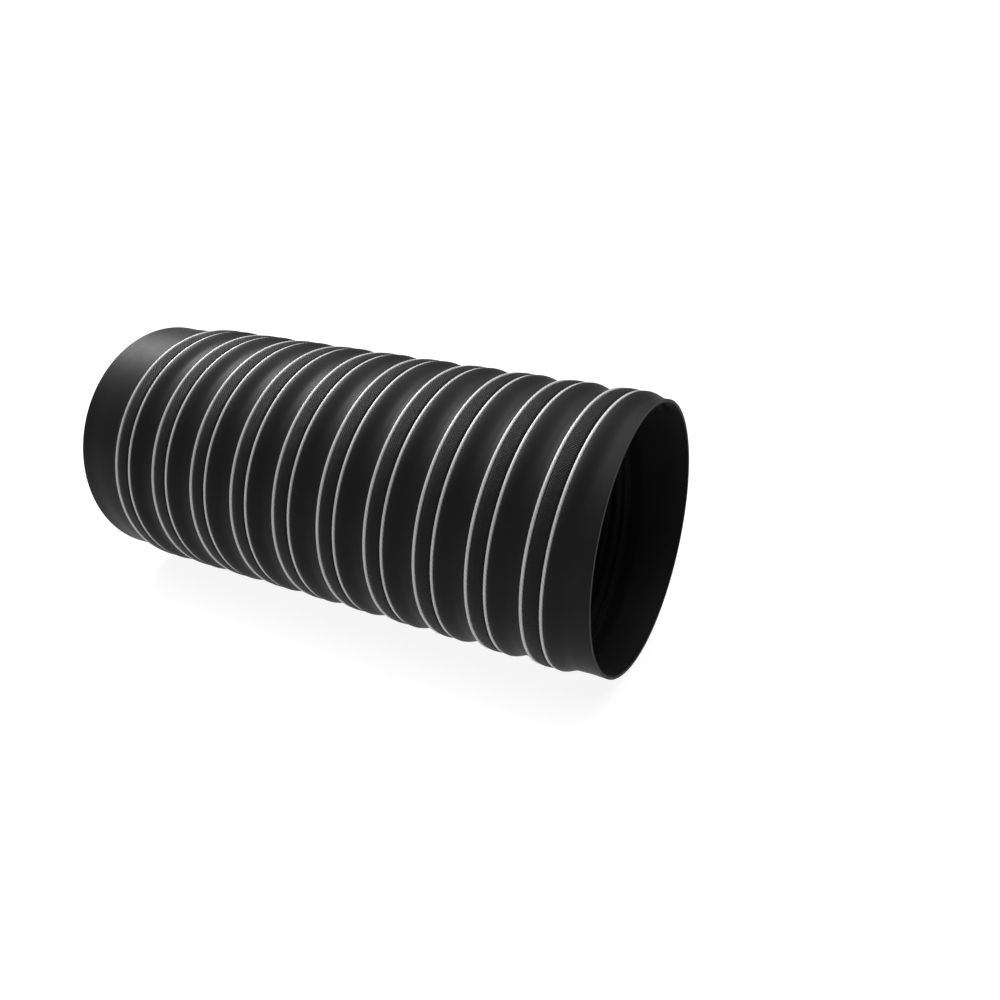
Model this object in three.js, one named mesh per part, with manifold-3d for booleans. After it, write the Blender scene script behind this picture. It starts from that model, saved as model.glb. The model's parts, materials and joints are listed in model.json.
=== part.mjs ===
// Flexible air duct, 100 mm bore: two plies of rubber-coated glass fabric bonded over a spring
// steel wire helix, with two white glass-fibre binding cords wound outside, one each side of the
// wire, and a plain soft cuff at each end. The duct lies along X with its mouth at +X, and it
// rests on its coils on z = 0. Sizes are millimetres.
//
// The duct is divided into coils of one and a quarter turns. A coil holds its stretch of wire,
// cords and plies rigidly. Between two coils a fold of fabric bends: the duct flexes there.
import * as THREE from 'three';
import { mergeVertices } from 'three/addons/utils/BufferGeometryUtils.js';
import Module from 'manifold-3d';

// Driving dimensions
const BORE_RADIUS = 50;
const PITCH = 20.9; // wire turn to wire turn
const COILS = 8;
const TURNS_PER_COIL = 1.25; // each cut between coils lies a quarter turn on from the last
const CUFF_END = 12; // from each end of the wire helix to the rim
const END_ANGLE = Math.PI / 4; // where the helix ends: at the top, towards +Y
const PLY = 0.6; // thickness of one ply of coated fabric
const CLEARANCE = 0.3; // between neighbouring solids
const WIRE_RADIUS = 0.8;
const WIRE_SIDES = 6;
const CORD_RADIUS = 0.65;
const CORD_SIDES = 5;
const CORD_OFFSET = 3.7; // cord to wire, along the duct
const CORD_TO_HUMP = 0.4; // from a cord to the foot of the hump over the wire
const HUMP_HALF_WIDTH = 1.3; // of its flat top
const CHANNEL_HALF_WIDTHS = [0.9, 1.25]; // at the top and foot of the wire's space in the hump
const BAND_HALF_WIDTH = 4.9; // of the strip that the wire and its two cords stiffen
const FOLD_BOW = 0.5; // how far the fabric between two coils bows out
const COIL_END_GAP = 0.8; // cut from each end of a coil, so that coils can turn
const SIDES = 16; // flats round the duct
const CUT_MARGIN = 3; // by which a cutting solid passes what it cuts
const SAME_PLACE = 1e-6; // closer places, in turns, count as one

// Radii, each measured to the flats
const innerPlyTop = BORE_RADIUS + PLY;
const outerPlyBottom = innerPlyTop + CLEARANCE;
const wireCentre = outerPlyBottom + WIRE_RADIUS;
const cordBed = outerPlyBottom + PLY;
const cordCentre = cordBed + CLEARANCE + CORD_RADIUS;
const crest = wireCentre + WIRE_RADIUS + CLEARANCE + PLY;
const wallTop = BORE_RADIUS + 2 * PLY;

const turns = COILS * TURNS_PER_COIL;
const helixStart = (-turns * PITCH) / 2;
const halfLength = CUFF_END - helixStart;
const axisHeight = crest;
const endTrim = COIL_END_GAP / (2 * Math.PI * BORE_RADIUS); // as a part of a turn
const cornerOverFlat = 1 / Math.cos(Math.PI / SIDES);

const finish = {
  outerPly: { color: 0x1b1c1e, roughness: 0.72, metalness: 0 },
  innerPly: { color: 0x101011, roughness: 0.8, metalness: 0 },
  cord: { color: 0xd9d8d2, roughness: 0.75, metalness: 0 },
  wire: { color: 0x9a9c9e, roughness: 0.35, metalness: 1 },
};

const duct = new THREE.Group();

function add(name, geometry, surface) {
  const mesh = new THREE.Mesh(geometry, new THREE.MeshStandardMaterial(surface));
  mesh.name = name;
  duct.add(mesh);
}

// A corner of the sixteen-sided, left-handed helix. The lowest point of a turn is the middle of a
// flat, so the duct rests on flats. The offset is along the duct, and the radius is to the flats.
function corner(index, offset, radius) {
  const turn = (index + 0.5) / SIDES;
  const angle = END_ANGLE - 2 * Math.PI * turn;
  const reach = radius * cornerOverFlat;
  const x = helixStart + PITCH * turn + offset;
  return new THREE.Vector3(x, reach * Math.cos(angle), axisHeight + reach * Math.sin(angle));
}

function onHelix(turn, offset, radius) {
  const place = turn * SIDES - 0.5;
  const index = Math.floor(place);
  const start = corner(index, offset, radius);
  return start.lerp(corner(index + 1, offset, radius), place - index);
}

// Both ends of a stretch of helix and every corner between them, in turns
function stations(from, to) {
  const list = [from];
  for (let index = Math.ceil(from * SIDES - 0.5); index < to * SIDES - 0.5; index += 1) {
    const turn = (index + 0.5) / SIDES;
    if (turn - from > SAME_PLACE && to - turn > SAME_PLACE) list.push(turn);
  }
  list.push(to);
  return list;
}

// Extrudes a section straight and winds it round the helix. The section's x is the offset along
// the duct and its y is the radius. It runs from the last turn back to the first, because that
// is the way round that keeps a left-handed helix's faces outward.
function wind(section, from, to) {
  const along = stations(from, to).reverse();
  const steps = along.length - 1;
  const geometry = new THREE.ExtrudeGeometry(section, { depth: steps, steps, bevelEnabled: false });
  const position = geometry.attributes.position;
  for (let i = 0; i < position.count; i += 1) {
    const turn = along[Math.round(position.getZ(i))];
    const point = onHelix(turn, position.getX(i), position.getY(i));
    position.setXYZ(i, point.x, point.y, point.z);
  }
  return geometry;
}

function outline(points) {
  return new THREE.Shape(points.map(([offset, radius]) => new THREE.Vector2(offset, radius)));
}

function strip(from, to, low, high) {
  return outline([[from, low], [to, low], [to, high], [from, high]]);
}

function roundSection(offset, centre, radius, sides) {
  const points = [];
  for (let i = 0; i < sides; i += 1) {
    const angle = (2 * Math.PI * (i + 0.5)) / sides - Math.PI / 2;
    points.push([offset + radius * Math.cos(angle), centre + radius * Math.sin(angle)]);
  }
  return outline(points);
}

// The outer ply rises over the wire as a hump, and carries a cord on the flat at each foot of it.
function outerPlySection() {
  const [channelTop, channelFoot] = CHANNEL_HALF_WIDTHS;
  const half = [
    [channelTop, crest - PLY],
    [channelFoot, outerPlyBottom],
    [BAND_HALF_WIDTH, outerPlyBottom],
    [BAND_HALF_WIDTH, cordBed],
    [CORD_OFFSET - CORD_RADIUS - CORD_TO_HUMP, cordBed],
    [HUMP_HALF_WIDTH, crest],
  ];
  const otherHalf = half.map(([offset, radius]) => [-offset, radius]).reverse();
  return outline([...half, ...otherHalf]);
}

function foldSection() {
  const from = BAND_HALF_WIDTH + CLEARANCE;
  const to = PITCH - from;
  return outline([
    [from, BORE_RADIUS],
    [PITCH / 2, BORE_RADIUS + FOLD_BOW],
    [to, BORE_RADIUS],
    [to, wallTop],
    [PITCH / 2, wallTop + FOLD_BOW],
    [from, wallTop],
  ]);
}

// Coils, numbered from the rear
for (let coil = 1; coil <= COILS; coil += 1) {
  const from = (coil - 1) * TURNS_PER_COIL + endTrim;
  const to = coil * TURNS_PER_COIL - endTrim;
  const innerPly = strip(-BAND_HALF_WIDTH, BAND_HALF_WIDTH, BORE_RADIUS, innerPlyTop);
  add(`coil_${coil}_inner_ply`, wind(innerPly, from, to), finish.innerPly);
  const wire = roundSection(0, wireCentre, WIRE_RADIUS, WIRE_SIDES);
  add(`coil_${coil}_wire`, wind(wire, from, to), finish.wire);
  add(`coil_${coil}_outer_ply`, wind(outerPlySection(), from, to), finish.outerPly);
  const cords = [['rear', -CORD_OFFSET], ['front', CORD_OFFSET]];
  for (const [side, offset] of cords) {
    const cord = roundSection(offset, cordCentre, CORD_RADIUS, CORD_SIDES);
    add(`coil_${coil}_${side}_cord`, wind(cord, from, to), finish.cord);
  }
}

// Folds lie between one turn of the wire and the next, so the last one stops a turn early.
for (let fold = 1; fold <= COILS; fold += 1) {
  const from = (fold - 1) * TURNS_PER_COIL + endTrim;
  const to = Math.min(fold * TURNS_PER_COIL, turns - 1) - endTrim;
  add(`fold_${fold}`, wind(foldSection(), from, to), finish.outerPly);
}

// Cuffs
const wasm = await Module();
wasm.setup();

function solid(geometry) {
  const bare = geometry.clone();
  bare.deleteAttribute('normal');
  bare.deleteAttribute('uv');
  const merged = mergeVertices(bare);
  const vertProperties = new Float32Array(merged.attributes.position.array);
  const triVerts = new Uint32Array(merged.index.array);
  return new wasm.Manifold(new wasm.Mesh({ numProp: 3, vertProperties, triVerts }));
}

function geometryOf(manifold) {
  const { vertProperties, triVerts } = manifold.getMesh();
  const geometry = new THREE.BufferGeometry();
  geometry.setAttribute('position', new THREE.BufferAttribute(vertProperties, 3));
  geometry.setIndex(new THREE.BufferAttribute(triVerts, 1));
  geometry.computeVertexNormals();
  return geometry;
}

// A plain sixteen-sided tube of both plies, along the duct between two places
function tube(from, to) {
  const low = BORE_RADIUS * cornerOverFlat;
  const high = wallTop * cornerOverFlat;
  const profile = [[low, from], [high, from], [high, to], [low, to], [low, from]];
  const points = profile.map(([radius, place]) => new THREE.Vector2(radius, place));
  const geometry = new THREE.LatheGeometry(points, SIDES, Math.PI / SIDES);
  geometry.rotateZ(-Math.PI / 2);
  geometry.translate(0, 0, axisHeight);
  return geometry;
}

// A cuff is a tube less the space that its turn of the helix takes, in two half turns.
function cuff(from, to, firstTurn, offsets) {
  const space = strip(...offsets, BORE_RADIUS - CUT_MARGIN, crest + CUT_MARGIN);
  const half = 0.5 + endTrim;
  let body = solid(tube(from, to));
  for (const start of [firstTurn, firstTurn + 0.5]) {
    body = body.subtract(solid(wind(space, start - endTrim, start + half)));
  }
  return geometryOf(body);
}

const edge = BAND_HALF_WIDTH + CLEARANCE;
const past = PITCH + BAND_HALF_WIDTH;
const rearCuff = cuff(-halfLength, helixStart + past, 0, [-edge, past]);
const frontCuff = cuff(-helixStart - past, halfLength, turns - 1, [-past, edge]);
add('rear_cuff', rearCuff, finish.outerPly);
add('front_cuff', frontCuff, finish.outerPly);

export default duct;
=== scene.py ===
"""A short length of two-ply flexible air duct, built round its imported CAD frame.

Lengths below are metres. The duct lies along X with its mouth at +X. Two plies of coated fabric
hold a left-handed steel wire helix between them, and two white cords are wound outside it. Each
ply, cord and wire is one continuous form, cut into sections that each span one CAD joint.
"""

import json
import math

import bmesh
import bpy
import numpy as np
from mathutils import Matrix, Vector

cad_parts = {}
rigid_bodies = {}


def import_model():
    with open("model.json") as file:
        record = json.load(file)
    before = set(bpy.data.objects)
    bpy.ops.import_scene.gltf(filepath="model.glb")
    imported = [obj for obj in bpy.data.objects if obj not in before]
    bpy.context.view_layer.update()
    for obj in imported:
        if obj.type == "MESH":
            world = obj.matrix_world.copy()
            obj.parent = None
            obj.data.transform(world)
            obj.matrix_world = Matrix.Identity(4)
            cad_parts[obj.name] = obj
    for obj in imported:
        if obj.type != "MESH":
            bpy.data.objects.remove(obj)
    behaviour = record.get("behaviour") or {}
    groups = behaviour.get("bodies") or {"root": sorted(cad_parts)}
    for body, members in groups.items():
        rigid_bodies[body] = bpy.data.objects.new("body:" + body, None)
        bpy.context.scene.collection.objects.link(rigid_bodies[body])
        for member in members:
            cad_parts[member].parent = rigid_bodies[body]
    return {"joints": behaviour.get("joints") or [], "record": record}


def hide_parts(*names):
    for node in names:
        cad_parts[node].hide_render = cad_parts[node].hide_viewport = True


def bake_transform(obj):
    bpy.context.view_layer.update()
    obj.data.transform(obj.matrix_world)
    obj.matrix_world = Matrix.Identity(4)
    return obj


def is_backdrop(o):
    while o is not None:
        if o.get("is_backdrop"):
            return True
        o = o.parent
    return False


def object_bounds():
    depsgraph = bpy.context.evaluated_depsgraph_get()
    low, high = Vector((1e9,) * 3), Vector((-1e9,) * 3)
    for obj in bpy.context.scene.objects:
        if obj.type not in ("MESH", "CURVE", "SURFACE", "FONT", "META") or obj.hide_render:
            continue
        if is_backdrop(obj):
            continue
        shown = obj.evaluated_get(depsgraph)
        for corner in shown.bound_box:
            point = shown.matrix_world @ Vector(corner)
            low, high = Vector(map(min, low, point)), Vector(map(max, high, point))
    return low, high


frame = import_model()
cad_low, cad_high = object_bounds()

MM = 0.001
TAU = 2 * math.pi


# ---- Driving dimensions ----

# As in the CAD model
PITCH = 20.9 * MM  # wire turn to wire turn
TURNS = 10.0
TURNS_PER_COIL = 1.25
CUFF_END = 12 * MM  # from each end of the wire helix to the rim
END_ANGLE = math.pi / 4  # where the helix ends: at the top, towards +Y
CORD_OFFSET = 3.7 * MM  # cord to wire, along the duct
HALF_BORE = 50 * MM
HALF_LENGTH = cad_high[0]
AXIS_HEIGHT = (cad_low[2] + cad_high[2]) / 2
HELIX_START = CUFF_END - HALF_LENGTH

# The wall's outer face over one pitch, as (offset from the wire, radius) at each crest and
# hollow: the valley behind the rear cord, the hump over the wire, the dip that holds the front
# cord, the fabric's own crest in front of it, and the valley again.
VALLEY = 51.4 * MM
WALL_PROFILE = [
    (-7.0 * MM, VALLEY),
    (-0.9 * MM, 53.22 * MM),
    (3.1 * MM, 53.02 * MM),
    (5.4 * MM, 53.28 * MM),
    (11.6 * MM, VALLEY),
    (13.9 * MM, VALLEY),
]
# The plain cuff's outer face, as (distance from the rim, radius)
CUFF_PROFILE = [(0.0, 51.40 * MM), (5.5 * MM, 51.20 * MM), (13 * MM, VALLEY)]
PLY = 0.55 * MM
WALL = 1.15 * MM  # both plies together, where no wire parts them
HUMP_FADE = 0.035  # turns in which a hump dies away at the helix's ends

WIRE_RADIUS = 0.8 * MM
WIRE_RIDGE = 1.75 * MM  # by which the wire parts the plies further
WIRE_RIDGE_WIDTH = 1.7 * MM
WIRE_INSET = HUMP_FADE * 1.1  # in turns, from each end of the helix to the wire's end

CORD_RADIUS = 0.66 * MM
CORD_REST = 0.5 * MM  # of a cord's centre above the plain wall
CORD_LIFT = 0.5 * MM  # by which the waves of the wall raise it further
CORD_INSET = HUMP_FADE * 0.5  # in turns, as for the wire
CORD_LOBES = 3
CORD_LOBE_DEPTH = 0.035  # as a part of its radius
CORD_TWISTS = 55  # in one turn
CORD_TIP = 0.04  # square of how full a cord is at its very end
GROOVE_WIDTH = 0.85 * MM  # half the width of the groove that a cord lies in
GROOVE_EDGE = GROOVE_WIDTH * 1.35  # from a cord to just past its groove

# How finely each form is divided
AROUND = 160  # faces of the wall round the duct
FINE_SPACING = 0.26 * MM  # of its faces along the duct, in a groove
HUMP_SPACING = 0.75 * MM
VALLEY_SPACING = 0.9 * MM
SPARE_TURNS = 2  # of wall beyond each end of the helix, for the cuffs
CORD_STEPS = 320  # in one turn
CORD_SIDES = 12
WIRE_STEPS = 96
WIRE_SIDES = 10
CUT_MARGIN = 3 * MM  # of wall kept past each cut until the cut is made
SAME_POINT = 1e-7
ON_CUT = 1e-6  # closer to a cut than this, a face belongs to it
SHORTEST = 1e-12  # length by which a normal may be divided


# ---- Shape of the wall ----

def ease(x):
    x = np.clip(x, 0, 1)
    return x * x * (3 - 2 * x)


def through(profile, x):
    """The curve that is level at each of the profile's points and smooth between them."""
    result = np.full(np.shape(x), profile[0][1], float)
    for (start, low), (end, high) in zip(profile, profile[1:]):
        result = result + ease((x - start) / (end - start)) * (high - low)
    return result


def strength(turn):
    """One along the helix, falling to nothing at its ends."""
    return ease(turn / HUMP_FADE) * ease((TURNS - turn) / HUMP_FADE)


def plain_radius(x):
    return through(CUFF_PROFILE, HALF_LENGTH - np.abs(x))


def bulge(offset):
    """How far the wall stands out beyond the valley near one turn of the wire."""
    return through(WALL_PROFILE, offset) - VALLEY


def cord_height(turn):
    """How far a cord's centre stands above the plain wall."""
    return CORD_REST + CORD_LIFT * strength(turn)


def wave(turn, offset):
    """The wall's height above the plain tube: the waves of two turns, less the cords' grooves."""
    height = 0
    for later in (0, 1):
        own_turn, own_offset = turn + later, offset - later * PITCH
        height = height + strength(own_turn) * bulge(own_offset)
        for cord in (-CORD_OFFSET, CORD_OFFSET):
            bed = strength(own_turn) * bulge(np.array(cord)) + CORD_RADIUS - cord_height(own_turn)
            near = np.exp(-(((own_offset - cord) / GROOVE_WIDTH) ** 4))
            height = height - near * bed * strength(own_turn)
    return height


def outer_face(turn, offset, x):
    return plain_radius(x) + wave(turn, offset)


def outer_back(turn, offset, x):
    return outer_face(turn, offset, x) - PLY


def inner_face(turn, offset, x):
    ridge = WIRE_RIDGE * np.exp(-((offset / WIRE_RIDGE_WIDTH) ** 2))
    return outer_face(turn, offset, x) - strength(turn) * ridge - WALL


def inner_back(turn, offset, x):
    return inner_face(turn, offset, x) + PLY


def on_helix(turn, offset, radius):
    angle = END_ANGLE - TAU * turn
    x = HELIX_START + PITCH * turn + offset
    return np.stack([x, radius * np.cos(angle), AXIS_HEIGHT + radius * np.sin(angle)], axis=-1)


# ---- Where the duct bends ----

def joint_sections():
    """The sections between cuts, each as (low x, high x, body behind, body in front), from the
    rear. A section spans one joint: its cuts lie in the middle of a coil or of a fold."""
    coil_length = PITCH * TURNS_PER_COIL
    sections = []
    for joint in frame["joints"]:
        number = int(joint["name"].rsplit("_", 1)[1])
        middle = HELIX_START + coil_length * number
        low, high = middle - coil_length / 2, middle + coil_length / 2
        if joint["parent"].startswith("bend"):
            low = middle
        if joint["child"].startswith("bend"):
            high = middle
        sections.append((low, high, joint["parent"], joint["child"]))
    return sorted(sections)


SECTIONS = joint_sections()


def nodes_of(section, part):
    """The CAD nodes of one kind that a section stands for: those of the body behind it, and the
    last coil's as well for the last section."""
    bodies = [section[2]]
    if section is SECTIONS[-1]:
        bodies.append(section[3])
    names = []
    for body in bodies:
        names += [node for node in frame["record"]["behaviour"]["bodies"][body] if part(node)]
    return names


def settle(piece, section, material, part):
    """Gives a finished piece its material, bakes its transform in and hides the CAD nodes that
    it stands for."""
    piece.data.materials.append(material)
    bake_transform(piece)
    nodes = nodes_of(section, part)
    if nodes:
        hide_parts(*nodes)


# ---- Meshes ----

def put_in_scene(name, data):
    thing = bpy.data.objects.new(name, data)
    bpy.context.scene.collection.objects.link(thing)
    return thing


def ribbon(radius_of, offsets):
    """Points, faces and flat coordinates of a ribbon one pitch wide that winds on itself into a
    tube. Its two edges meet under the rear cord."""
    steps = np.arange(-SPARE_TURNS * AROUND, int((TURNS + SPARE_TURNS) * AROUND) + 1)
    turn = (steps / AROUND)[:, None]
    offset = np.asarray(offsets)[None, :]
    x = HELIX_START + PITCH * turn + offset
    points = on_helix(turn, offset, radius_of(turn, offset, x)).reshape(-1, 3)
    index = np.arange(points.shape[0]).reshape(len(steps), len(offsets))
    inside = [index[:-1, :-1], index[1:, :-1], index[1:, 1:], index[:-1, 1:]]
    inside = np.stack(inside, -1).reshape(-1, 4)
    front_edge, rear_edge = index[:-AROUND, -1], index[AROUND:, 0]
    meeting = np.stack([front_edge[:-1], front_edge[1:], rear_edge[1:], rear_edge[:-1]], -1)
    faces = np.concatenate([inside, meeting])
    arc = TAU * HALF_BORE * turn + 0 * offset
    flat = np.stack([arc, x], -1).reshape(-1, 2)[faces]
    flat[len(inside):, 2:, 0] -= TAU * HALF_BORE
    return points, faces[:, ::-1], flat[:, ::-1]


def vertex_normals(points, faces):
    a, b, c, d = (points[faces[:, i]] for i in range(4))
    face_normals = np.cross(c - a, d - b)
    normals = np.zeros_like(points)
    for i in range(4):
        np.add.at(normals, faces[:, i], face_normals)
    return normals / np.maximum(np.linalg.norm(normals, axis=1, keepdims=True), SHORTEST)


class Ply:
    """Both faces of one ply over the whole duct. Each section of it is cut from this."""

    def __init__(self, face_of, back_of, offsets, face_is_outside):
        face, faces, flat = ribbon(face_of, offsets)
        back, _, _ = ribbon(back_of, offsets)
        face_faces, face_flat = faces, flat
        back_faces, back_flat = faces[:, ::-1], flat[:, ::-1]
        if not face_is_outside:
            face_faces, back_faces = back_faces, face_faces
            face_flat, back_flat = back_flat, face_flat
        normals = [vertex_normals(face, face_faces), vertex_normals(back, back_faces)]
        self.points = np.concatenate([face, back])
        self.normals = np.concatenate(normals)
        self.faces = np.concatenate([face_faces, back_faces + len(face)])
        self.flat = np.concatenate([face_flat, back_flat])

    def section(self, name, low, high):
        """The closed piece of this ply between two planes across the duct."""
        x = self.points[self.faces][:, :, 0]
        near = (x.max(1) > low - CUT_MARGIN) & (x.min(1) < high + CUT_MARGIN)
        faces, flat = self.faces[near], self.flat[near]
        used, renumbered = np.unique(faces, return_inverse=True)
        mesh = bpy.data.meshes.new(name)
        mesh.from_pydata(self.points[used].tolist(), [], renumbered.reshape(-1, 4).tolist())
        layer = mesh.uv_layers.new(name="flat")
        layer.data.foreach_set("uv", flat.reshape(-1))
        stored = mesh.attributes.new("smooth_normal", "FLOAT_VECTOR", "POINT")
        stored.data.foreach_set("vector", self.normals[used].reshape(-1))
        form = bmesh.new()
        form.from_mesh(mesh)
        for place, side in ((low, -1), (high, 1)):
            cut_off(form, place, side)
        bmesh.ops.recalc_face_normals(form, faces=form.faces)
        form.to_mesh(mesh)
        form.free()
        keep_normals(mesh, low, high)
        return put_in_scene(name, mesh)


def cut_off(form, place, side):
    """Cuts away all that lies past a plane across the duct, and joins the ply's faces there."""
    cut = bmesh.ops.bisect_plane(
        form,
        geom=form.verts[:] + form.edges[:] + form.faces[:],
        plane_co=(place, 0, 0),
        plane_no=(side, 0, 0),
        clear_outer=True,
        dist=SAME_POINT,
    )
    edges = [item for item in cut["geom_cut"] if isinstance(item, bmesh.types.BMEdge)]
    edges = [edge for edge in edges if edge.is_boundary]
    bmesh.ops.bridge_loops(form, edges=edges)


def field_of(items, field, width, kind=float):
    """One field of every item of a mesh, as a table with a row for each item."""
    values = np.zeros(len(items) * width, kind)
    items.foreach_get(field, values)
    return values.reshape(-1, width)


def keep_normals(mesh, low, high):
    """Shades a cut piece as the whole was shaded, so that no cut shows, with flat cut faces."""
    corners = field_of(mesh.loops, "vertex_index", 1, int)[:, 0]
    normals = field_of(mesh.attributes["smooth_normal"].data, "vector", 3)[corners]
    corners_each = field_of(mesh.polygons, "loop_total", 1, int)[:, 0]
    face_of_corner = np.repeat(np.arange(len(mesh.polygons)), corners_each)
    x = field_of(mesh.polygons, "center", 3)[:, 0]
    is_cut = (np.abs(x - low) < ON_CUT) | (np.abs(x - high) < ON_CUT)
    on_cut = is_cut[face_of_corner]
    normals[on_cut] = field_of(mesh.polygons, "normal", 3)[face_of_corner][on_cut]
    mesh.polygons.foreach_set("use_smooth", np.ones(len(mesh.polygons), bool))
    mesh.normals_split_custom_set(normals.tolist())
    mesh.attributes.remove(mesh.attributes["smooth_normal"])


def rounding(distance):
    """How full a cord is at this distance from its end."""
    short_of_full = (1 - distance / CORD_RADIUS).clip(0, 1)
    return np.sqrt(np.clip(1 - short_of_full ** 2, CORD_TIP, 1))


def wound_tube(name, offset, centre_of, thickness_of, span, steps_per_turn, sides, round_ends):
    """A closed round tube along the helix between two places, given in turns."""
    first, last = span
    count = max(2, int(math.ceil((last - first) * steps_per_turn)))
    turn = np.linspace(first, last, count + 1)[:, None]
    around = (np.arange(sides) * TAU / sides)[None, :]
    radius = thickness_of(turn, around)
    for end, rounded in zip(span, round_ends):
        if rounded:
            radius = radius * rounding(np.abs(turn - end) * TAU * HALF_BORE)
    centre = centre_of(turn, HELIX_START + PITCH * turn + offset)
    points = on_helix(turn, offset + radius * np.cos(around), centre + radius * np.sin(around))
    points = points.reshape(-1, 3)
    index = np.arange(len(points)).reshape(count + 1, sides)
    beside = np.roll(index, -1, axis=1)
    quads = np.stack([index[:-1], index[1:], beside[1:], beside[:-1]], -1).reshape(-1, 4)
    caps = [index[0], index[-1][::-1]]
    mesh = bpy.data.meshes.new(name)
    mesh.from_pydata(points.tolist(), [], quads.tolist() + [cap.tolist() for cap in caps])

    along = TAU * HALF_BORE * np.repeat(turn, sides, 1)
    flat = np.stack([along, 0 * along + around / TAU], -1).reshape(-1, 2)
    corners = flat[quads]
    # Where a face closes the circle, its far corners are at one and not at nought
    closing = corners[:, :, 1].max(1) - corners[:, :, 1].min(1) > 0.5
    corners[closing, :, 1] += corners[closing, :, 1] < 0.5
    corners = np.concatenate([corners.reshape(-1, 2)] + [flat[cap] for cap in caps])
    mesh.uv_layers.new(name="flat").data.foreach_set("uv", corners.reshape(-1))

    form = bmesh.new()
    form.from_mesh(mesh)
    bmesh.ops.recalc_face_normals(form, faces=form.faces)
    for face in form.faces:
        face.smooth = len(face.verts) == 4
        if not face.smooth:
            for edge in face.edges:
                edge.smooth = False
    form.to_mesh(mesh)
    form.free()
    return put_in_scene(name, mesh)


# ---- Materials ----

OUTER_DARK, OUTER_LIGHT = (0.007, 0.007, 0.0072, 1), (0.014, 0.014, 0.0143, 1)
INNER_DARK, INNER_LIGHT = (0.007, 0.007, 0.0072, 1), (0.013, 0.013, 0.0133, 1)
CLEAN_YARN, SOILED_YARN = (0.455, 0.455, 0.45, 1), (0.41, 0.41, 0.405, 1)
# Painted shade: the darker colour of the creases between a cord's strands
PAINTED_SHADE_BETWEEN_STRANDS = (0.31, 0.31, 0.305, 1)
DARK_STEEL, LIGHT_STEEL = (0.30, 0.30, 0.31, 1), (0.50, 0.50, 0.51, 1)

OUTER_ROUGHNESS, INNER_ROUGHNESS = 0.5, 0.55
COAT_GLOSS = 0.06  # specular level of the rubber coat
COAT_SHEEN, COAT_SHEEN_ROUGHNESS = 0.05, 0.3
THREADS_AROUND = 305  # of the fabric's weave
COAT_THIN_WITHIN = (6.0, 4.0)  # mm from the wire: where the weave starts to show, and shows fully
WEAVE_CONTRAST = 0.65
THREAD_DRIFT = 1.6 * MM  # by which threads stray from their lines
FIBRES_AROUND = 15  # of a cord

# Coarseness of each noise, per metre
DRIFT_SCALE = 170.0
PATCH_SCALE = 30.0
SCUFF_SCALE = 160.0
GRAIN_SCALE = 1300.0
FUZZ_SCALE = 2600.0
SOIL_SCALE = 60.0

# Depth of each relief
WEAVE_DEPTH = 0.09 * MM
GRAIN_DEPTH = 0.05 * MM
PATCH_DEPTH = 0.7 * MM
FIBRE_DEPTH = 0.02 * MM
FUZZ_DEPTH = 0.03 * MM
DRAWN_DEPTH = 0.01 * MM


class Nodes:
    """A short way to add nodes to one material."""

    def __init__(self, name):
        self.material = bpy.data.materials.new(name)
        self.material.use_nodes = True
        self.tree = self.material.node_tree
        self.shader = self.tree.nodes["Principled BSDF"]

    def add(self, kind, inputs=(), **settings):
        node = self.tree.nodes.new("ShaderNode" + kind)
        for key, value in settings.items():
            setattr(node, key, value)
        for socket, value in dict(inputs).items():
            self.link(value, node.inputs[socket])
        return node

    def link(self, value, socket):
        if isinstance(value, bpy.types.NodeSocket):
            self.tree.links.new(value, socket)
        else:
            socket.default_value = value

    def math(self, operation, a, b=0.0, c=0.0):
        return self.add("Math", {0: a, 1: b, 2: c}, operation=operation).outputs[0]

    def times(self, a, b):
        return self.math("MULTIPLY", a, b)

    def noise(self, coordinates, scale, detail=3.0, roughness=0.55):
        inputs = {"Vector": coordinates, "Scale": scale, "Detail": detail, "Roughness": roughness}
        return self.add("TexNoise", inputs).outputs["Fac"]

    def ramp(self, value, low, high, to_low, to_high):
        inputs = {0: value, 1: low, 2: high, 3: to_low, 4: to_high}
        return self.add("MapRange", inputs).outputs[0]

    def mix(self, factor, a, b):
        node = self.add("Mix", data_type="RGBA")
        self.link(factor, node.inputs[0])
        self.link(a, node.inputs[6])
        self.link(b, node.inputs[7])
        return node.outputs[2]

    def bump(self, height, amount, depth, normal=None):
        inputs = {"Height": height, "Strength": amount, "Distance": depth}
        if normal:
            inputs["Normal"] = normal
        return self.add("Bump", inputs).outputs["Normal"]

    def place(self):
        return self.add("TexCoord").outputs["Object"]

    def flat(self):
        """The place on the piece laid out flat, as (along the helix, across it)."""
        separate = self.add("SeparateXYZ", {0: self.add("UVMap", uv_map="flat").outputs[0]})
        return separate.outputs[0], separate.outputs[1]

    def finish(self, **inputs):
        for socket, value in inputs.items():
            self.link(value, self.shader.inputs[socket.replace("_", " ")])
        return self.material


def stretched_coat(look, along, across):
    """One near the wire, where it and the cords stretch the coat thin, and nought elsewhere."""
    turn = look.math("DIVIDE", along, TAU * HALF_BORE)
    from_start = look.math("SUBTRACT", across, HELIX_START)
    turns_on = look.math("SUBTRACT", look.math("DIVIDE", from_start, PITCH), turn)
    from_wire = look.times(look.math("PINGPONG", turns_on, 0.5), PITCH / MM)
    nearest = look.math("ADD", turn, look.math("ROUND", turns_on))
    started = look.ramp(nearest, 0.0, HUMP_FADE, 0.0, 1.0)
    not_ended = look.ramp(nearest, TURNS - HUMP_FADE, TURNS, 1.0, 0.0)
    near = look.ramp(from_wire, *COAT_THIN_WITHIN, 0.0, 1.0)
    return look.times(near, look.times(started, not_ended))


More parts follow.
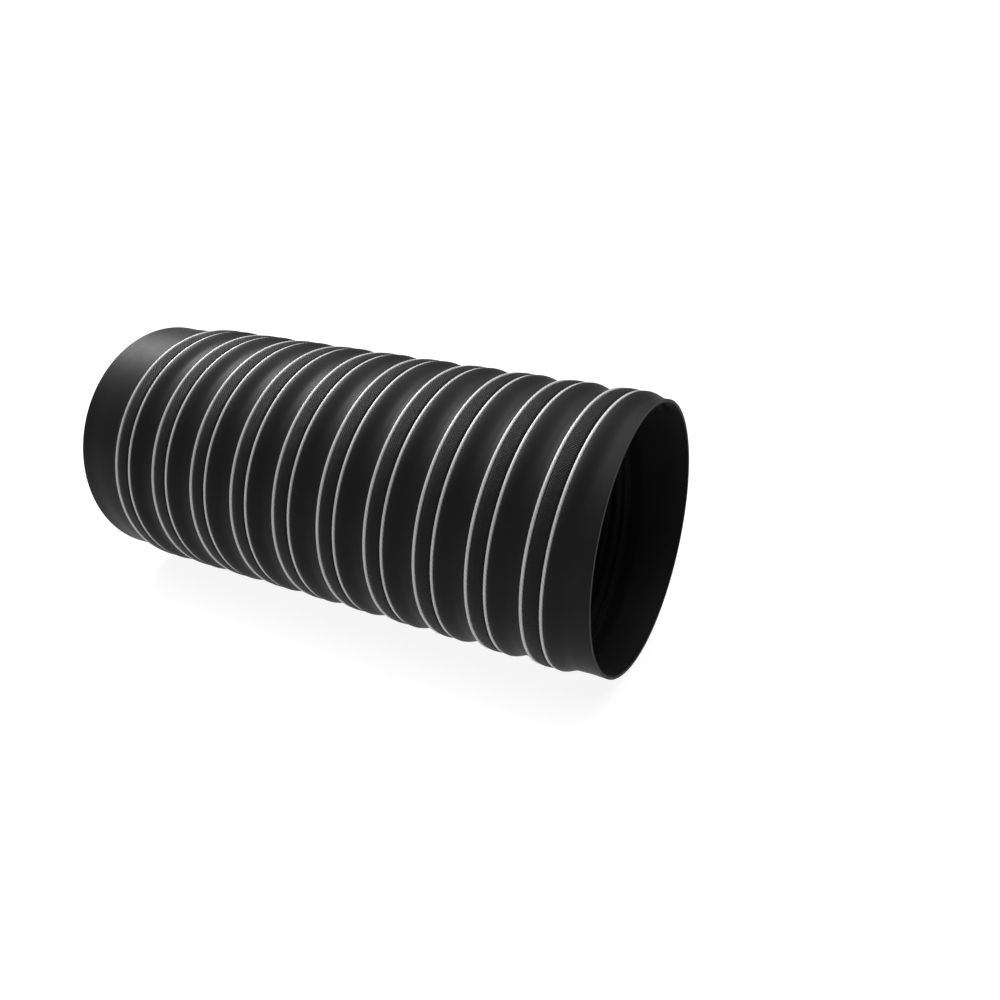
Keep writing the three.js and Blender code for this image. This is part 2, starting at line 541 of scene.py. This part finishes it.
def coated_fabric(name, dark, light, roughness):
    """Woven glass fabric under a matte rubber coat. The weave shows through most where the cords
    and the wire stretch the coat thin."""
    look = Nodes(name)
    place = look.place()
    along, across = look.flat()
    stretched = stretched_coat(look, along, across)
    per_metre = THREADS_AROUND / HALF_BORE
    drift = look.times(look.noise(place, DRIFT_SCALE), THREAD_DRIFT)
    warp = look.math("COSINE", look.times(look.math("ADD", along, drift), per_metre))
    weft = look.math("COSINE", look.times(look.math("SUBTRACT", across, drift), per_metre))
    weave = look.times(warp, weft)
    patches = look.noise(place, PATCH_SCALE, 4.0)
    grain = look.noise(place, GRAIN_SCALE, 3.0, 0.65)
    scuffs = look.ramp(look.noise(place, SCUFF_SCALE, 6.0, 0.7), 0.52, 0.75, 0.0, 1.0)

    shade = look.math("MULTIPLY_ADD", patches, 0.5, look.times(scuffs, 0.2))
    shade = look.math("MULTIPLY_ADD", grain, 0.25, shade)
    woven = look.times(look.times(weave, stretched), WEAVE_CONTRAST)
    colour = look.mix(look.math("ADD", shade, woven), dark, light)
    rough = look.math("MULTIPLY_ADD", patches, 0.12, roughness - 0.14)
    rough = look.math("MULTIPLY_ADD", grain, 0.16, rough)
    relief = look.times(weave, look.math("MULTIPLY_ADD", stretched, 0.9, 0.1))
    bump = look.bump(relief, 1.0, WEAVE_DEPTH)
    bump = look.bump(grain, 0.35, GRAIN_DEPTH, bump)
    bump = look.bump(patches, 0.3, PATCH_DEPTH, bump)
    return look.finish(Base_Color=colour, Roughness=rough, Normal=bump,
                       Specular_IOR_Level=COAT_GLOSS, Sheen_Weight=COAT_SHEEN,
                       Sheen_Roughness=COAT_SHEEN_ROUGHNESS)


def glass_cord(name):
    """Off-white twisted glass-fibre yarn, with painted shade in the creases between its strands.
    """
    look = Nodes(name)
    place = look.place()
    along, around = look.flat()
    lay = look.times(along, CORD_TWISTS / (TAU * HALF_BORE))
    strand = look.math("SUBTRACT", around, lay)
    fibres = look.math("SINE", look.times(strand, TAU * FIBRES_AROUND))
    # One on a strand and nought in the crease between strands, where shade is painted
    clear_of_crease_shade = look.math("COSINE", look.times(strand, TAU * CORD_LOBES))
    clear_of_crease_shade = look.ramp(clear_of_crease_shade, -1.0, -0.2, 0.0, 1.0)
    fuzz = look.noise(place, FUZZ_SCALE, 4.0, 0.6)
    soil = look.ramp(look.noise(place, SOIL_SCALE), 0.35, 0.7, 0.0, 1.0)
    # The creases between strands take a darker colour, as painted shade
    colour = look.mix(clear_of_crease_shade, PAINTED_SHADE_BETWEEN_STRANDS, look.mix(soil, CLEAN_YARN, SOILED_YARN))
    rough = look.ramp(fuzz, 0.3, 0.7, 0.3, 0.44)
    bump = look.bump(fibres, 0.5, FIBRE_DEPTH)
    bump = look.bump(fuzz, 0.5, FUZZ_DEPTH, bump)
    return look.finish(Base_Color=colour, Roughness=rough, Normal=bump, Specular_IOR_Level=1.0)


def drawn_wire(name):
    """Steel wire with fine lines along it."""
    look = Nodes(name)
    flat = look.add("UVMap", uv_map="flat").outputs[0]
    drawn_out = look.add("Mapping", {"Vector": flat, "Scale": (30.0, 40.0, 1.0)}).outputs[0]
    lines = look.noise(drawn_out, 8.0, 5.0)
    colour = look.mix(lines, DARK_STEEL, LIGHT_STEEL)
    rough = look.ramp(lines, 0.3, 0.7, 0.28, 0.45)
    bump = look.bump(lines, 0.3, DRAWN_DEPTH)
    return look.finish(Base_Color=colour, Metallic=1.0, Roughness=rough, Normal=bump)


outer_fabric = coated_fabric("outer_fabric", OUTER_DARK, OUTER_LIGHT, OUTER_ROUGHNESS)
inner_fabric = coated_fabric("inner_fabric", INNER_DARK, INNER_LIGHT, INNER_ROUGHNESS)
cord_yarn = glass_cord("cord_yarn")
wire_steel = drawn_wire("wire_steel")


# ---- Pieces ----

def spaced(places, spacings):
    """Offsets from the first place to just short of the last, closest where spacing is small."""
    result = []
    for (low, high), spacing in zip(zip(places, places[1:]), spacings):
        count = max(1, round((high - low) / spacing))
        result += [low + (high - low) * i / count for i in range(count)]
    return result


# One pitch of the wall, from the rear cord to the next turn's rear cord
wall_places = [
    -CORD_OFFSET,
    GROOVE_EDGE - CORD_OFFSET,
    CORD_OFFSET - GROOVE_EDGE,
    CORD_OFFSET + GROOVE_EDGE,
    PITCH - CORD_OFFSET - GROOVE_EDGE,
    PITCH - CORD_OFFSET,
]
wall_spacings = [FINE_SPACING, HUMP_SPACING, FINE_SPACING, VALLEY_SPACING, FINE_SPACING]
wall_offsets = spaced(wall_places, wall_spacings)
outer_ply = Ply(outer_face, outer_back, wall_offsets, True)
inner_ply = Ply(inner_face, inner_back, wall_offsets, False)


def helix_span(section, offset, inset):
    """The turns at which a line at this offset enters and leaves a section."""
    low, high = section[:2]
    first = inset if section is SECTIONS[0] else (low - HELIX_START - offset) / PITCH
    last = TURNS - inset if section is SECTIONS[-1] else (high - HELIX_START - offset) / PITCH
    return first, last


def cord_thickness(turn, around):
    lobes = np.cos(CORD_LOBES * (around - TAU * CORD_TWISTS * turn))
    return CORD_RADIUS * (1 + CORD_LOBE_DEPTH * (lobes - 1))


def cord_centre(turn, x):
    return plain_radius(x) + cord_height(turn)


def wire_thickness(turn, around):
    return WIRE_RADIUS + 0 * turn * around


def wire_centre(turn, x):
    return inner_back(turn, 0, x) + WIRE_RADIUS


def in_outer_wall(node):
    return node.endswith("outer_ply") or node.startswith("fold") or "cuff" in node


for number, section in enumerate(SECTIONS, 1):
    at_rear, at_mouth = section is SECTIONS[0], section is SECTIONS[-1]
    low = -HALF_LENGTH if at_rear else section[0]
    high = HALF_LENGTH if at_mouth else section[1]

    piece = outer_ply.section(f"outer_ply_{number}", low, high)
    settle(piece, section, outer_fabric, in_outer_wall)

    piece = inner_ply.section(f"inner_ply_{number}", low, high)
    settle(piece, section, inner_fabric, lambda node: node.endswith("inner_ply"))

    piece = wound_tube(f"wire_{number}", 0, wire_centre, wire_thickness,
                       helix_span(section, 0, WIRE_INSET), WIRE_STEPS, WIRE_SIDES, (False, False))
    settle(piece, section, wire_steel, lambda node: node.endswith("wire"))

    for side, offset in (("rear", -CORD_OFFSET), ("front", CORD_OFFSET)):
        piece = wound_tube(f"{side}_cord_{number}", offset, cord_centre, cord_thickness,
                           helix_span(section, offset, CORD_INSET), CORD_STEPS, CORD_SIDES,
                           (at_rear, at_mouth))
        settle(piece, section, cord_yarn,
               lambda node: node.endswith(f"{side}_cord"))


# ---- Stage and lights ----

WHITE = (1, 1, 1, 1)
ROOM_LIGHT = 0.15
FLOOR_GLOW = 0.9
FLOOR_SHADE = (0.13, 0.13, 0.13, 1)
FLOOR_ROUGHNESS = 0.9
FLOOR_REACH = 6.0
KEY_PLACE = (-0.95, 0.33, 0.9)
KEY_SIZE = 0.36
KEY_POWER = 15.5
OVERHEAD_WAY = (0.2, -0.1, -0.97)
OVERHEAD_SPREAD = math.radians(80)
OVERHEAD_POWER = 4.4


def aimed(way):
    return Vector(way).to_track_quat("-Z", "Y").to_euler()


def lay_floor():
    """A white sheet lit a little from below, so that shadows on it stay soft."""
    reach = FLOOR_REACH
    corners = [(-reach, -reach, 0), (reach, -reach, 0), (reach, reach, 0), (-reach, reach, 0)]
    mesh = bpy.data.meshes.new("floor")
    mesh.from_pydata(corners, [], [(0, 1, 2, 3)])
    look = Nodes("floor_white")
    mesh.materials.append(look.finish(Base_Color=FLOOR_SHADE, Roughness=FLOOR_ROUGHNESS,
                                      Emission_Color=WHITE, Emission_Strength=FLOOR_GLOW))
    floor = put_in_scene("floor", mesh)
    floor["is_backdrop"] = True


def light_room():
    """A room that looks white to the camera and lights the duct only a little."""
    world = bpy.data.worlds.new("studio")
    bpy.context.scene.world = world
    world.use_nodes = True
    nodes, links = world.node_tree.nodes, world.node_tree.links
    background = nodes["Background"]
    background.inputs["Color"].default_value = WHITE
    seen = nodes.new("ShaderNodeLightPath")
    brightness = nodes.new("ShaderNodeMapRange")
    brightness.inputs["To Min"].default_value = ROOM_LIGHT
    brightness.inputs["To Max"].default_value = 1.0
    links.new(seen.outputs["Is Camera Ray"], brightness.inputs["Value"])
    links.new(brightness.outputs[0], background.inputs["Strength"])


def hang_lights():
    key = bpy.data.lights.new("key", "AREA")
    key.shape = "RECTANGLE"
    key.size = key.size_y = KEY_SIZE
    key.energy = KEY_POWER
    lamp = put_in_scene("key", key)
    lamp.location = KEY_PLACE
    lamp.rotation_euler = aimed(Vector((0, 0, AXIS_HEIGHT)) - Vector(KEY_PLACE))
    overhead = bpy.data.lights.new("overhead", "SUN")
    overhead.energy = OVERHEAD_POWER
    overhead.angle = OVERHEAD_SPREAD
    put_in_scene("overhead", overhead).rotation_euler = aimed(OVERHEAD_WAY)


lay_floor()
light_room()
hang_lights()


# ---- Camera ----

VIEW_AZIMUTH = math.radians(28.1)
VIEW_ELEVATION = math.radians(23.95)
FOCAL_LENGTH = 32.02
SENSOR = 36.0
# From the lens to the middle of the mouth: how far right, down and ahead
MOUTH_FROM_LENS = (52.4 * MM, 14.6 * MM, 321.6 * MM)


def add_camera():
    sideways = Vector((math.cos(VIEW_AZIMUTH), math.sin(VIEW_AZIMUTH), 0))
    level = Vector((-math.sin(VIEW_AZIMUTH), math.cos(VIEW_AZIMUTH), 0))
    ahead = level * math.cos(VIEW_ELEVATION) - Vector((0, 0, math.sin(VIEW_ELEVATION)))
    up = sideways.cross(ahead)
    right, down, away = MOUTH_FROM_LENS
    mouth = Vector((HALF_LENGTH, 0, AXIS_HEIGHT))
    lens = mouth - sideways * right + up * down - ahead * away
    data = bpy.data.cameras.new("camera")
    data.lens, data.sensor_width = FOCAL_LENGTH, SENSOR
    camera = put_in_scene("camera", data)
    turned = Matrix((sideways, up, -ahead)).transposed().to_4x4()
    camera.matrix_world = Matrix.Translation(lens) @ turned
    bpy.context.scene.camera = camera


add_camera()
bpy.context.scene.view_settings.view_transform = "Standard"

low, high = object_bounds()
